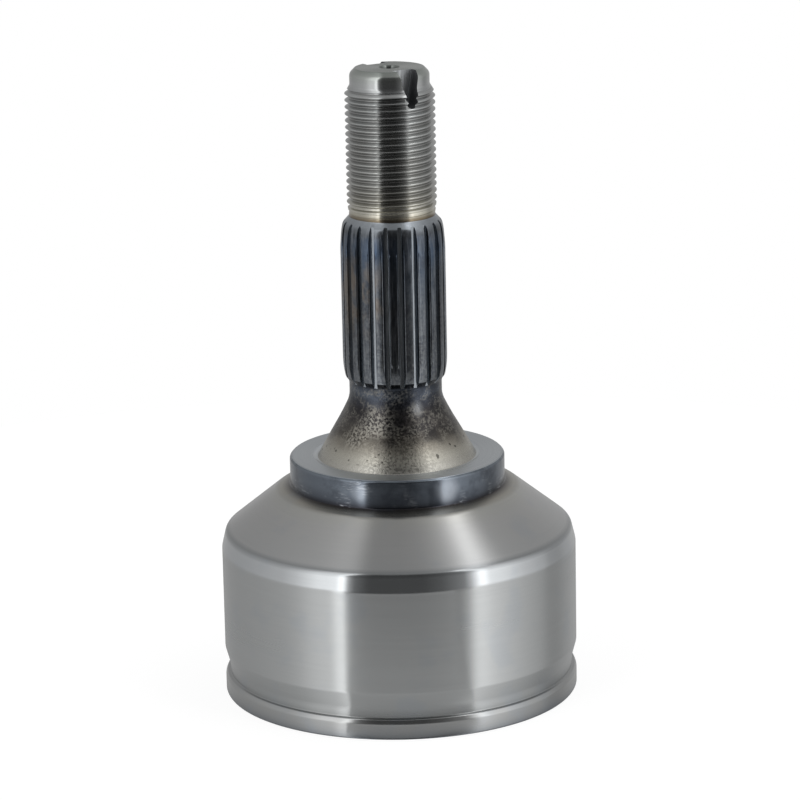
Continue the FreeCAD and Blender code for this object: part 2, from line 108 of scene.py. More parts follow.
class BellSizes(bpy.types.PropertyGroup):
    """Bell, cone, bearing shoulder and flare"""
    radius: length("Bell radius", 39.8, "Turned cylinder of the bell")
    height: length("Cylinder top", 33.35, "Height of the cylinder above the mouth rim")
    groove: length("Groove radius", 38.75, "Floor of the boot groove")
    shoulder: length("Shoulder radius", 24.05, "Bearing shoulder")
    shoulder_top: length("Shoulder height", 54.0, "Height of the bearing face")
    socket: length("Socket radius", 30.4, "Spherical bore that guides the cage")
    floor: length("Socket floor", 43.0, "Height of the flat floor of the bore")
    segments: IntProperty(
        name="Segments", description="Steps round the axis, a multiple of the teeth and tracks",
        default=264, min=132,
    )


class StubSizes(bpy.types.PropertyGroup):
    """Hub spline, thread and staking slots"""
    teeth: IntProperty(name="Teeth", description="Hub spline teeth", default=22, min=3)
    tip: length("Tooth radius", 11.62, "Outside of the hub spline")
    root: length("Tooth root radius", 10.4, "Floor of the hub spline")
    crest: length("Thread crest radius", 9.93, "Outside of the hub thread")
    thread_root: length("Thread root radius", 9.08, "Floor of the hub thread")
    pitch: length("Thread pitch", 1.5, "Height of one turn of the thread")
    groove_start: length("Groove start", 108.50, "Height of a thread groove at the right-hand side")
    thread_low: length("Full thread", 111.6, "Height where the thread reaches its full size")
    height: length("Overall height", 141.1, "Mouth rim to end face")
    slot_low: length("Slot bottom", 133.2, "Height of a staking slot's round end")
    slot_radius: length("Slot end radius", 1.2, "Half width at the bottom")
    slot_half: length("Slot half width", 2.8, "Half width 2.2 mm above the end face")
    slot_floor: length("Slot floor", 5.2, "Floor of a slot from the axis")
    slot_azimuth: FloatProperty(
        name="Slot azimuth", description="Staking slots, turned from the front",
        default=math.radians(31), subtype="ANGLE", unit="ROTATION",
    )


class BearingSizes(bpy.types.PropertyGroup):
    """Balls, tracks, cage and inner race"""
    count: IntProperty(name="Balls", description="Balls, tracks and windows", default=6, min=3)
    centre: length("Joint centre", 15.5, "Joint centre above the mouth rim")
    ball: length("Ball radius", 15.875 / 2, "Bearing ball")
    ball_circle: length("Ball circle", 27.0, "Ball centres from the axis")
    offset: length("Track offset", 2.5, "Track centres from the joint centre")
    track_clearance: length("Track clearance", 0.22, "Track radius over the ball's")
    cage_outer: length("Cage outer radius", 30.2, "Sphere of the cage's outside")
    cage_inner: length("Cage inner radius", 25.8, "Sphere of the cage's inside")
    cage_half: length("Half cage width", 13.5, "Cage rims from the joint centre")
    hub: length("Inner race radius", 25.6, "Sphere of the inner race")
    hub_half: length("Half inner race width", 11.0, "Inner race faces from the joint centre")
    bore: length("Bore radius", 10.2, "Tips of the shaft spline")
    ring_depth: length("Snap ring depth", 2.6, "Snap ring from the inner race's upper face")
    bore_teeth: IntProperty(name="Bore teeth", description="Shaft spline", default=26, min=3)
    wire: length("Snap ring wire", 0.9, "Radius of the snap ring's wire")


class Finishes(bpy.types.PropertyGroup):
    """Colours of the steels"""
    steel: colour("Turned steel", "#b4b6b6", "Bell, thread and nose")
    temper: colour("Blue temper", "#3a4c63", "Heat tint at the top of the hub spline")
    straw: colour("Straw temper", "#85796a", "Heat tint beside the hardened zones")
    scale: colour("Mill scale", "#403e3f", "Oxide left on the flare")
    phosphate: colour("Phosphate", "#565756", "Cage")
    ball: colour("Lapped steel", "#c4c6c9", "Balls")
    wire: colour("Spring wire", "#6b6c6f", "Snap ring")


# Modelling by operators

def deselect():
    if bpy.context.object and bpy.context.object.mode != "OBJECT":
        bpy.ops.object.mode_set(mode="OBJECT")
    bpy.ops.object.select_all(action="DESELECT")


def activate(piece):
    deselect()
    bpy.context.view_layer.objects.active = piece
    piece.select_set(True)


def edit_all():
    bpy.ops.object.mode_set(mode="EDIT")
    bpy.ops.mesh.select_all(action="SELECT")


def pick(kind, wanted):
    """Selects the vertices, edges or faces of the mesh in edit mode that a test wants."""
    bpy.ops.mesh.select_mode(type=kind)
    mesh = bpy.context.edit_object.data
    live = bmesh.from_edit_mesh(mesh)
    for item in {"VERT": live.verts, "EDGE": live.edges, "FACE": live.faces}[kind]:
        item.select_set(bool(wanted(item)))
    live.select_flush_mode()
    bmesh.update_edit_mesh(mesh)


def pick_at(point):
    pick("VERT", lambda vertex: (vertex.co - Vector(point)).length < 1e-6)


def draw(name, path):
    """Draws a chain of edges from points (across, up) in mm, on the plane through the axis that
    faces the camera. A point may carry the length that its corner is rounded off by, and a step
    ("arc", centre across, centre up, degrees, steps) swings on from the last point, anticlockwise."""
    deselect()
    bpy.ops.mesh.primitive_plane_add(size=MM)
    piece = bpy.context.object
    piece.name = piece.data.name = name
    bpy.ops.object.mode_set(mode="EDIT")
    bpy.ops.mesh.select_mode(type="VERT")
    bpy.ops.mesh.merge(type="CENTER")
    pen = Vector((path[0][0], 0, path[0][1])) * MM
    bpy.ops.transform.translate(value=pen)
    rounded = {}
    for step in path[1:]:
        if step[0] == "arc":
            centre = Vector((step[1], 0, step[2])) * MM
            angle = math.radians(step[3])
            bpy.ops.mesh.spin(steps=step[4], angle=angle, center=centre, axis=(0, 1, 0))
            arm = pen - centre
            turned = (arm.x * math.cos(angle) - arm.z * math.sin(angle),
                      arm.z * math.cos(angle) + arm.x * math.sin(angle))
            pen = centre + Vector((turned[0], 0, turned[1]))
            pick_at(pen)
            continue
        point = Vector((step[0], 0, step[1])) * MM
        bpy.ops.mesh.extrude_region_move(TRANSFORM_OT_translate={"value": point - pen})
        pen = point
        if len(step) > 2:
            rounded.setdefault(step[2], []).append(point)
    for cut, corners in rounded.items():
        pick("VERT", lambda vertex: any((vertex.co - corner).length < 1e-6 for corner in corners))
        bpy.ops.mesh.bevel(offset=cut * MM, affect="VERTICES", segments=3)
    bpy.ops.mesh.select_all(action="SELECT")
    return piece


def mirrored(side):
    """Closes the left half of an outline with its mirror image."""
    return side + [(-across, up) for across, up in reversed(side)] + side[:1]


def close_up():
    """Merges doubles and turns every face outwards."""
    bpy.ops.mesh.select_all(action="SELECT")
    bpy.ops.mesh.remove_doubles(threshold=MERGE)
    bpy.ops.mesh.normals_make_consistent(inside=False)
    bpy.ops.object.mode_set(mode="OBJECT")


def turn_round(piece, steps):
    """Spins the chain in edit mode right round the axis into a closed skin."""
    bpy.ops.mesh.spin(steps=steps, angle=FULL_TURN, center=(0, 0, 0), axis=(0, 0, 1),
                      use_auto_merge=True)
    close_up()
    return piece


def fill_and_push(piece, way):
    """Fills the closed chain in edit mode and extrudes it into a bar."""
    bpy.ops.mesh.remove_doubles(threshold=MERGE)
    bpy.ops.mesh.edge_face_add()
    bpy.ops.mesh.extrude_region_move(TRANSFORM_OT_translate={"value": Vector(way) * MM})
    close_up()
    return piece


def repeat_round(piece, count, start=0.0):
    """Turns the mesh about the axis by start and copies it to count places."""
    activate(piece)
    edit_all()
    if start:
        turn(start)
    bpy.ops.mesh.spin(steps=count - 1, angle=FULL_TURN * (count - 1) / count, dupli=True,
                      center=(0, 0, 0), axis=(0, 0, 1))
    close_up()
    return piece


def turn(angle, axis="Z", centre=(0, 0, 0)):
    """Turns the selection anticlockwise seen from the axis's end."""
    bpy.ops.transform.rotate(value=-angle, orient_axis=axis, orient_type="GLOBAL",
                             center_override=centre)


def carve(piece, tool, operation="DIFFERENCE"):
    """Applies a Boolean with another piece and removes that one."""
    activate(piece)
    bpy.ops.object.modifier_add(type="BOOLEAN")
    cut = piece.modifiers[-1]
    cut.operation = operation
    cut.solver = "MANIFOLD"
    cut.object = tool
    bpy.ops.object.modifier_apply(modifier=cut.name)
    bpy.data.objects.remove(tool)


def finish_piece(piece, body, stands_for, finish, sharp=32):
    """Shades a finished mesh, gives it its first finish and says what it stands for."""
    activate(piece)
    piece.name = piece.data.name = stands_for + "_skin"
    piece.data.materials.clear()
    piece.data.materials.append(finish)
    bpy.ops.object.shade_smooth_by_angle(angle=math.radians(sharp))
    bpy.ops.object.modifier_add(type="WEIGHTED_NORMAL")
    flats = piece.modifiers[-1]
    flats.keep_sharp = True
    bpy.ops.object.modifier_apply(modifier=flats.name)
    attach(piece, body)
    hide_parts(stands_for)
    deselect()


def face_finish(piece, finish, wanted):
    """Gives a finish to the faces that a test wants, by their middle in mm and their normal."""
    activate(piece)
    piece.data.materials.append(finish)
    piece.active_material_index = len(piece.data.materials) - 1
    bpy.ops.object.mode_set(mode="EDIT")
    pick("FACE", lambda face: wanted(face.calc_center_median() / MM, face.normal))
    bpy.ops.object.material_slot_assign()
    deselect()


# Materials

def node(tree, kind, settings=None, stops=(), **links):
    """Adds a node, sets its fields and colour stops, and links or sets its inputs by name."""
    made = tree.nodes.new("ShaderNode" + kind)
    for field, value in (settings or {}).items():
        setattr(made, field, value)
    for rank, (place, tone) in enumerate(stops):
        marks = made.color_ramp.elements
        if rank == 0:
            marks.remove(marks[1])
        mark = marks.new(place) if rank else marks[0]
        mark.position = place
        mark.color = tone if isinstance(tone, tuple) else (tone, tone, tone, 1.0)
    for place, value in links.items():
        at = int(place[1:]) if place[1:].isdigit() else place.replace("_", " ")
        if isinstance(value, bpy.types.NodeSocket):
            tree.links.new(value, made.inputs[at])
        else:
            made.inputs[at].default_value = value
    return made


def maths(tree, operation, *values):
    """Adds a Math node and gives its result."""
    links = {"_%d" % place: value for place, value in enumerate(values)}
    return node(tree, "Math", {"operation": operation}, **links).outputs[0]


def ease(tree, value, low, high, start=0.0, end=1.0):
    """Goes softly from start to end while a value goes from low to high."""
    return node(tree, "MapRange", {"interpolation_type": "SMOOTHSTEP"}, Value=value,
                From_Min=low, From_Max=high, To_Min=start, To_Max=end).outputs[0]


def bare_material(name):
    """A new material and its empty node tree."""
    material = bpy.data.materials.new(name)
    material.use_nodes = True
    material.node_tree.nodes.clear()
    return material, material.node_tree


class Finish:
    """A material in the making: its node tree and the places on the piece that patterns follow."""

    def __init__(self, name):
        self.material, self.tree = bare_material(name)
        self.point = self.add("TexCoord").outputs["Object"]
        split = self.add("SeparateXYZ", _0=self.point)
        flat = self.add("VectorMath", {"operation": "MULTIPLY"}, _0=self.point, _1=(1, 1, 0))
        far = self.add("VectorMath", {"operation": "LENGTH"}, _0=flat.outputs[0])
        self.height, self.reach = split.outputs["Z"], far.outputs["Value"]
        down = maths(self.tree, "SUBTRACT", self.height, self.reach)
        skin = self.add("CombineXYZ", X=split.outputs["X"], Y=split.outputs["Y"], Z=down)
        self.profile = skin.outputs[0]

    def add(self, kind, settings=None, stops=(), **links):
        return node(self.tree, kind, settings, stops, **links)

    def ramp(self, place, *tones):
        """Colours, or values from 0 to 1, at heights or distances from the axis in mm."""
        span = 160.0
        share = maths(self.tree, "DIVIDE", place, span * MM)
        stops = [(at / span, linear(tone) if isinstance(tone, str) else tone) for at, tone in tones]
        return self.add("ValToRGB", None, stops, Fac=share).outputs[0]

    def mottle(self, width, tall=1.0, detail=3.0, seed=0.0, low=0.4, high=0.6):
        """Cloudy marks about width mm across and tall times that along the axis, from 0 to 1."""
        fine = 1 / (width * MM)
        lay = self.add("Mapping", Vector=self.point, Location=(seed, seed, seed),
                       Scale=(fine, fine, fine / tall))
        cloud = self.add("TexNoise", Vector=lay.outputs[0], Scale=1.0, Detail=detail, Roughness=0.6)
        return ease(self.tree, cloud.outputs[0], low, high)

    def tool_rings(self, spacing, broken=40.0, detail=3.0):
        """Fine rings left by the turning tool, spacing in mm, each fading out round the piece."""
        lay = self.add("Mapping", Vector=self.profile, Scale=(broken, broken, 1 / (spacing * MM)))
        return self.add("TexNoise", Vector=lay.outputs[0], Scale=1.0, Detail=detail,
                        Roughness=0.65).outputs[0]

    def patch(self, centre, radius, soft=0.3):
        """One soft round patch about a point in mm: 1 in its middle and 0 outside."""
        away = self.add("VectorMath", {"operation": "DISTANCE"}, _0=self.point,
                        _1=tuple(Vector(centre) * MM))
        return ease(self.tree, away.outputs["Value"], radius * soft * MM, radius * MM, 1.0, 0.0)

    def lay(self, below, code, strength, *masks):
        """Lays a colour over another, only where every mask is bright."""
        for mask in masks:
            strength = maths(self.tree, "MULTIPLY", mask, strength)
        return self.add("Mix", {"data_type": "RGBA"}, _0=strength, _6=below, _7=linear(code)).outputs[2]

    def steel(self, tone, roughness, reliefs=(), grain=0.0, metallic=1.0):
        """Finishes with a metal shader. Roughness is a base and pairs (pattern, share), reliefs
        are pairs (pattern, depth in thousandths of a mm), and grain is how strongly turning lines
        stretch reflections."""
        blur = roughness[0]
        for pattern, share in roughness[1:]:
            blur = maths(self.tree, "MULTIPLY_ADD", pattern, share, blur)
        links = {"Base_Color": tone, "Metallic": metallic, "Roughness": blur}
        for pattern, depth in reliefs:
            under = {"Normal": links["Normal"]} if "Normal" in links else {}
            links["Normal"] = self.add("Bump", None, Height=pattern, Distance=depth * 1e-6,
                                       **under).outputs[0]
        if grain:
            round_axis = self.add("Tangent", {"direction_type": "RADIAL", "axis": "Z"})
            links.update(Anisotropic=grain, Anisotropic_Rotation=0.25, Tangent=round_axis.outputs[0])
        skin = self.add("BsdfPrincipled", None, **links)
        self.add("OutputMaterial", Surface=skin.outputs[0])
        return self.material


def turned_steel(tones):
    """Medium-carbon steel, turned on a lathe and left bare: a grey mirror that fine rings blur
    upwards and downwards, so lamps show as long upright streaks with crisp sides."""
    made = Finish("turned_steel")
    bare = tuple(tones.steel)
    rings = made.tool_rings(0.5)
    # Painted shade in this ramp: darker towards the bottom of the rim, a painted reflection of the
    # bell's own shadow on the table; a dark line in the corner of the boot groove (4.5 to 4.75 mm); and
    # a dark shadow line at the top of the polished band (37.0 to 37.4 mm).
    tone = made.ramp(
        made.height, (0.0, "#6e7276"), (0.5, "#85888b"), (1.4, "#989a9b"), (2.3, "#a2a3a3"),
        (3.5, "#a8a9a8"), (4.35, "#b0b1b1"), (4.5, "#727373"), (4.75, "#727373"),
        (4.95, "#999b9b"), (6.0, "#a6a8a8"), (10.3, "#aeb0b0"), (10.6, bare), (33.2, bare),
        (33.6, "#c0c3c5"), (36.7, "#c0c3c5"), (37.0, "#96999b"), (37.4, "#8f9294"), (37.75, "#b3b4b4"),
        (44.0, "#b6b6b5"), (46.2, "#b8b8b4"), (46.8, "#aeaca4"), (47.2, tuple(tones.straw)),
        (47.5, "#3c3838"))
    tone = made.lay(tone, "#7d7f81", 0.14, rings)
    tone = made.lay(tone, "#8e9cad", 0.12, made.mottle(9.0, 1.0, 2.0, 3.0, 0.5, 0.7))
    plain = made.ramp(
        made.height, (3.3, 1.0), (3.5, 0.0), (4.7, 0.0), (5.0, 1.0), (32.5, 1.0), (33.7, 0.0),
        (36.9, 0.0), (37.8, 0.4))
    waves = made.tool_rings(2.6, 18.0, 2.0)
    return made.steel(tone, (0.12, (plain, 0.12), (waves, 0.05)), ((rings, 0.7),), 0.95)


def tempered_shoulder():
    """The ground shoulder beside the induction-hardened zone: heat has tinted it blue-black, and
    handling has rubbed short bright streaks through the tint. Two soft bright patches on its front
    are painted highlights, where the tall studio lights would reflect."""
    made = Finish("tempered_shoulder")
    rings = made.tool_rings(0.45, 25.0)
    tone = made.ramp(
        made.height, (47.6, "#2b2a2e"), (48.5, "#52575f"), (51.0, "#6b727b"), (53.4, "#6a717a"),
        (54.1, "#858d96"))
    tone = made.lay(tone, "#3a3e46", 0.4, made.mottle(5.0, 1.0, 4.0, 1.0, 0.45, 0.62))
    tone = made.lay(tone, "#a9adb2", 0.6, made.mottle(6.0, 1.0, 3.0, 5.0, 0.5, 0.64),
                    made.mottle(2.4, 0.06, 1.0, 4.0, 0.55, 0.6))
    # Painted highlights: two soft bright patches on the front, where the tall studio lights would
    # reflect.
    tone = made.lay(tone, "#b4bac2", 0.42, made.patch((10.9, -21.4, 51.0), 3.8))
    tone = made.lay(tone, "#a4abb4", 0.4, made.patch((-8.4, -22.5, 51.0), 2.6))
    return made.steel(tone, (0.12, (rings, 0.1)), ((rings, 1.5),), 0.85)


def turned_seat():
    """The faced top of the shoulder: bare steel whose rings run round the axis, with a light film
    of oxide, so it is duller than the bell."""
    made = Finish("turned_seat")
    rings = made.tool_rings(0.4, 30.0)
    tone = made.ramp(
        made.reach, (17.0, "#9b9e9f"), (18.0, "#dadee1"), (18.8, "#c6cbcf"), (23.4, "#cbd0d4"),
        (24.0, "#8c939a"))
    tone = made.lay(tone, "#6b737b", 0.2, rings)
    return made.steel(tone, (0.22, (rings, 0.16)), ((rings, 2.0),), 0.8)


def scaled_flare(tones):
    """Forged steel that kept its thin mill scale: dark, half-matt and mottled, rubbed through to silver
    specks in places, and bronze where the tool just skimmed its foot. A soft bright spot on its
    front is a painted highlight."""
    made = Finish("scaled_flare")
    grit = made.mottle(0.5, 1.0, 4.0, 2.0, 0.42, 0.6)
    cloud = made.mottle(5.0, 1.0, 4.0, 9.0, 0.4, 0.62)
    rings = made.tool_rings(0.5, 20.0)
    tone = made.ramp(
        made.height, (54.0, "#b4b2ab"), (56.5, "#b1aea4"), (58.5, "#8f8a80"), (60.3, "#504c47"),
        (62.6, "#4c4947"), (66.0, tuple(tones.scale)), (67.5, "#474a52"), (69.6, "#5c636e"),
        (70.6, "#4b515b"), (71.4, "#2c2f35"), (72.0, "#2b2e33"))
    upper = made.ramp(made.height, (57.0, 0.0), (60.0, 1.0), (70.0, 1.0), (72.0, 0.3))
    tone = made.lay(tone, "#26262a", 0.6, cloud, upper)
    tone = made.lay(tone, "#b4b0a6", 0.3, grit, made.mottle(3.0, 1.0, 3.0, 14.0, 0.45, 0.6), upper)
    tone = made.lay(tone, "#b6b3aa", 0.65, grit, made.patch((-5.0, -11.8, 64.0), 5.0))
    tone = made.lay(tone, "#b0aca2", 0.75, grit, made.patch((-9.3, -11.0, 60.0), 4.6))
    # Painted highlight: a soft bright spot on the front of the flare, without specks.
    tone = made.lay(tone, "#a9abad", 0.6, made.patch((5.0, -10.6, 66.8), 2.6, 0.0))
    tone = made.lay(tone, "#8d8a84", 0.3, rings, made.ramp(made.height, (58.0, 1.0), (61.0, 0.0)))
    foot = made.ramp(made.height, (54.8, 0.0), (55.6, 1.0), (59.0, 1.0), (61.0, 0.0))
    tone = made.lay(tone, "#1d1b1a", 0.7, made.mottle(1.3, 1.0, 1.0, 6.0, 0.66, 0.72), foot)
    return made.steel(tone, (0.26, (grit, 0.16)), ((grit, 7.0), (cloud, 10.0)), 0.3)


def blued_spline(tones):
    """Rolled teeth, induction hardened: tempered blue-black with bronze clouds, streaked
    lengthwise by the rolling. The tooth edges are bright here and there, partly rubbed and partly a
    painted highlight, and the gaps are lightened as painted light reflected into them."""
    made = Finish("blued_spline")
    lines = made.mottle(0.45, 14.0, 3.0, 8.0, 0.42, 0.62)
    cloud = made.mottle(6.0, 1.4, 3.0, 4.0, 0.42, 0.6)
    tone = made.ramp(
        made.height, (71.8, "#2b2e33"), (72.8, "#474b51"), (77.0, "#4a4e54"),
        (88.0, "#474c53"), (97.0, "#414b58"), (101.5, tuple(tones.temper)), (104.8, "#2f3d50"),
        (105.4, "#161c25"), (107.2, "#181d24"), (108.1, "#23211f"), (108.3, "#2b221a"))
    tone = made.lay(tone, "#262930", 0.6, cloud)
    tone = made.lay(tone, "#7d8289", 0.45, lines, made.mottle(4.0, 3.0, 3.0, 2.0, 0.4, 0.6))
    tone = made.lay(tone, "#7b6d5c", 0.6, made.patch((-9.0, -8.0, 92.0), 12.0),
                    made.mottle(4.0, 1.5, 3.0, 12.0, 0.42, 0.6))
    low = made.ramp(made.height, (70.0, 0.9), (84.0, 0.8), (95.0, 0.4), (107.0, 0.1))
    tone = made.lay(tone, "#8b8d8c", 0.35, made.mottle(0.6, 1.0, 4.0, 8.0, 0.42, 0.6), low)
    # Bright tooth tip edges, partly rubbed and partly a painted highlight of light caught on their
    # rounded corners.
    edge = made.ramp(made.reach, (11.24, 0.0), (11.4, 1.0), (11.54, 1.0), (11.59, 0.0))
    rub_and_highlight_heights = made.ramp(made.height, (72.0, 0.3), (76.0, 1.0), (104.0, 1.0), (106.0, 0.4))
    tone = made.lay(tone, "#e2e6ea", 1.0, edge, rub_and_highlight_heights, made.mottle(1.2, 4.0, 3.0, 3.0, 0.32, 0.54))
    # Painted light: the gaps between the teeth are lightened to stand in for light reflected into them.
    gap = made.ramp(made.reach, (10.35, 1.0), (11.0, 0.8), (11.3, 0.0))
    tone = made.lay(tone, "#a9afb5", 0.75, gap)
    return made.steel(tone, (0.17, (lines, 0.1)), ((lines, 1.5),))


def rolled_thread(tones):
    """Bare soft steel, thread rolled: smooth bright crests, darker towards the thread roots, and
    a straw tint where the hardened zone ends."""
    made = Finish("rolled_thread")
    cloud = made.mottle(5.0, 1.0, 3.0, 5.0, 0.4, 0.65)
    tone = made.ramp(
        made.height, (108.3, "#3d3023"), (108.5, "#6b5f4c"), (108.9, "#958b78"), (109.6, "#c2bfb3"),
        (111.0, "#c0beb5"), (113.0, "#b4b3ad"), (117.0, "#b3b4b2"), (134.0, tuple(tones.steel)))
    # Darker towards the thread roots, by distance from the axis.
    root_darkening = made.ramp(made.reach, (9.05, 1.0), (9.22, 0.7), (9.42, 0.0))
    threaded = made.ramp(made.height, (110.0, 0.0), (112.0, 1.0))
    tone = made.lay(tone, "#33312e", 0.85, root_darkening, threaded)
    tone = made.lay(tone, "#85827d", 0.2, cloud)
    return made.steel(tone, (0.17, (cloud, 0.06)), ((cloud, 1.0),), 0.5)


def turned_nose(tones):
    """The turned end of the stub: fine bright rings on the nose and the faced end."""
    made = Finish("turned_nose")
    rings = made.tool_rings(0.35, 30.0)
    tone = made.ramp(
        made.height, (136.0, "#a8aaab"), (138.0, tuple(tones.steel)), (140.2, "#a9ada9"),
        (141.3, "#9aa09b"), (141.6, "#8a9091"))
    tone = made.lay(tone, "#7e8081", 0.15, rings)
    # Painted shade: the centre hole in the end face is darkened.
    tone = made.lay(tone, "#2b2d2f", 0.85, made.ramp(made.reach, (0.0, 1.0), (2.1, 1.0), (2.5, 0.0)))
    return made.steel(tone, (0.15, (rings, 0.08)), ((rings, 1.0),), 0.9)


def milled_slot():
    """The staking slots: milled with a slim end mill, so their walls carry fine upright cutter
    marks and a little burr grey. Their floor carries painted light and their walls painted shade."""
    made = Finish("milled_slot")
    marks = made.mottle(0.4, 16.0, 2.0, 0.0, 0.3, 0.7)
    # Painted light and shade: bright on the slot floor, dark on its walls, by distance from the axis.
    tone = made.ramp(made.reach, (5.3, "#d4d7d9"), (5.9, "#c8cbcd"), (6.4, "#5c5d5f"), (9.0, "#606264"))
    tone = made.lay(tone, "#6d7071", 0.4, marks)
    return made.steel(tone, (0.5, (marks, 0.15)), ((marks, 2.0),))


def ground_socket():
    """The bore and ball tracks: induction hardened, hard turned and ground, with a thin oil film
    and straw and blue heat tints towards the mouth."""
    made = Finish("ground_socket")
    rings = made.tool_rings(0.5, 30.0)
    tone = made.ramp(
        made.height, (0.0, "#9a9c9d"), (3.0, "#8f9091"), (6.0, "#85837d"), (12.0, "#8b8881"),
        (30.0, "#8c8d8e"), (43.0, "#6f7072"))
    tone = made.lay(tone, "#6a6459", 0.3, made.mottle(8.0, 1.0, 3.0, 2.0, 0.4, 0.65))
    tone = made.lay(tone, "#5b5c5e", 0.25, rings)
    return made.steel(tone, (0.22, (rings, 0.12)), ((rings, 2.0),), 0.6)


def case_hardened():
    """The inner race: case-hardened alloy steel, ground on its ball tracks and sphere, grey with a
    soft sheen and faint grinding lines."""
    made = Finish("case_hardened")
    rings = made.tool_rings(0.4, 30.0)
    cloud = made.mottle(5.0, 1.0, 3.0, 6.0, 0.4, 0.65)
    tone = made.ramp(made.height, (4.5, "#8d8f91"), (6.5, "#9a9c9e"), (26.5, "#9a9c9e"))
    tone = made.lay(tone, "#73726f", 0.35, cloud)
    tone = made.lay(tone, "#5f6062", 0.25, rings)
    return made.steel(tone, (0.24, (cloud, 0.1)), ((rings, 2.0),), 0.5)


def phosphated_cage(tones):
    """The cage: steel with a zinc phosphate coat, dark grey, fine-grained and nearly matt, rubbed
    brighter on its edges."""
    made = Finish("phosphated_cage")
    grain = made.mottle(0.35, 1.0, 2.0, 1.0, 0.3, 0.7)
    coat = tuple(tones.phosphate)
    tone = made.ramp(made.height, (2.0, "#767778"), (2.5, coat), (28.5, coat), (29.0, "#767778"))
    tone = made.lay(tone, "#3f3e3d", 0.5, made.mottle(7.0, 1.0, 3.0, 4.0, 0.4, 0.65))
    tone = made.lay(tone, "#77787a", 0.35, grain)
    return made.steel(tone, (0.4, (grain, 0.14)), ((grain, 4.0),), 0.0, 0.85)


def bearing_ball(tones):
    """The balls: through-hardened bearing steel, lapped to a mirror, with a faint haze of grease."""
    made = Finish("bearing_ball")
    haze = made.mottle(4.0, 1.0, 3.0, 2.0, 0.4, 0.7)
    tone = made.lay(tuple(tones.ball), "#a29d92", 0.3, haze)
    return made.steel(tone, (0.07, (haze, 0.1)))


def spring_wire(tones):
    """The snap ring: drawn spring wire with a dark patented skin and fine lengthwise lines."""
    made = Finish("spring_wire")
    grain = made.mottle(0.5, 1.0, 3.0, 5.0, 0.35, 0.65)
    tone = made.lay(tuple(tones.wire), "#4a4a4c", 0.5, grain)
    return made.steel(tone, (0.26, (grain, 0.1)), ((grain, 1.5),))


# Pieces

def outer_outline(bell, stub):
    """Turned outline of bell, shoulder, flare and spline, from the mouth to the plain stem."""
    radius, groove, top = bell.radius / MM, bell.groove / MM, bell.height / MM
    shoulder, seat = bell.shoulder / MM, bell.shoulder_top / MM
    tip, end = stub.tip / MM, stub.thread_low / MM + 1.3
    return [
        (34.0, 0.0),
        (radius - 0.2, 0.0, 0.08),
        (radius, 0.3, 0.12),
        (radius, 3.55, 0.2),
        (39.4, 4.45, 0.15),
        (groove, 4.65, 0.12),
        (groove, 6.6, 0.5),
        (radius, 10.45, 0.25),
        (radius, 22.0),
        (radius, top, 0.25),
        (38.9, 37.1, 0.4),
        (38.3, 37.6, 0.4),
        (27.2, 46.45, 0.6),
        (25.2, 47.15, 0.5),
        (shoulder, 47.6, 0.3),
        (shoulder, 53.5, 0.15),
        (shoulder - 0.5, seat, 0.15),
        (18.75, seat, 0.2),
        (18.2, 53.6, 0.2),
        (17.65, 53.6, 0.2),
        (17.1, 54.8, 0.5),
        (14.5, 59.4, 1.5),
        (12.27, 63.2, 1.8),
        (10.3, 67.2, 1.2),
        (10.3, 71.1, 0.4),
        (11.12, 72.2, 0.25),
        (11.5, 74.3, 0.8),
        (tip, 76.4, 0.8),
        (tip, 101.5, 0.8),
        (11.3, 105.3, 0.8),
        (10.95, 106.8, 0.4),
        (9.47, 108.4, 0.35),
        (9.47, 109.3),
        (8.95, end),
        (0.0, end),
    ]


def socket_outline(bell, bearing):
    """Spherical bore of the bell with its mouth chamfer and flat floor."""
    centre, radius = bearing.centre / MM, bell.socket / MM
    low = math.degrees(math.asin((5.9 - centre) / radius))
    high = math.degrees(math.asin((bell.floor / MM - centre) / radius))
    lip = radius * math.cos(math.radians(low))
    return [
        (0.0, -3.4),
        (37.4, -3.4),
        (34.0, 0.0),
        (lip, 5.9),
        ("arc", 0.0, centre, high - low, 30),
        (0.0, bell.floor / MM),
    ]


def ball_track(name, bearing, centre, low, high):
    """What a ball-nosed cutter removes when it swings about a point on the axis, seen at the
    front: a bent bar from low to high, in degrees above that point, with a round upper end."""
    swing = math.hypot(bearing.ball_circle, bearing.offset)
    cutter = bearing.ball + bearing.track_clearance
    pivot = (0, 0, centre)
    deselect()
    bpy.ops.mesh.primitive_circle_add(vertices=48, radius=cutter, fill_type="NGON",
                                      location=(0, -swing, centre))
    bar = bpy.context.object
    bar.name = name
    bpy.ops.object.transform_apply()
    edit_all()
    turn(-math.radians(low), "X", pivot)
    bpy.ops.mesh.spin(steps=28, angle=math.radians(high - low), center=pivot, axis=(1, 0, 0))
    close_up()
    if high < 45:
        up = math.radians(high)
        bpy.ops.mesh.primitive_uv_sphere_add(
            segments=48, ring_count=24, radius=cutter,
            location=(0, -swing * math.cos(up), centre + swing * math.sin(up)))
        nose = bpy.context.object
        bpy.ops.object.transform_apply()
        carve(bar, nose, "UNION")
    return repeat_round(bar, bearing.count)


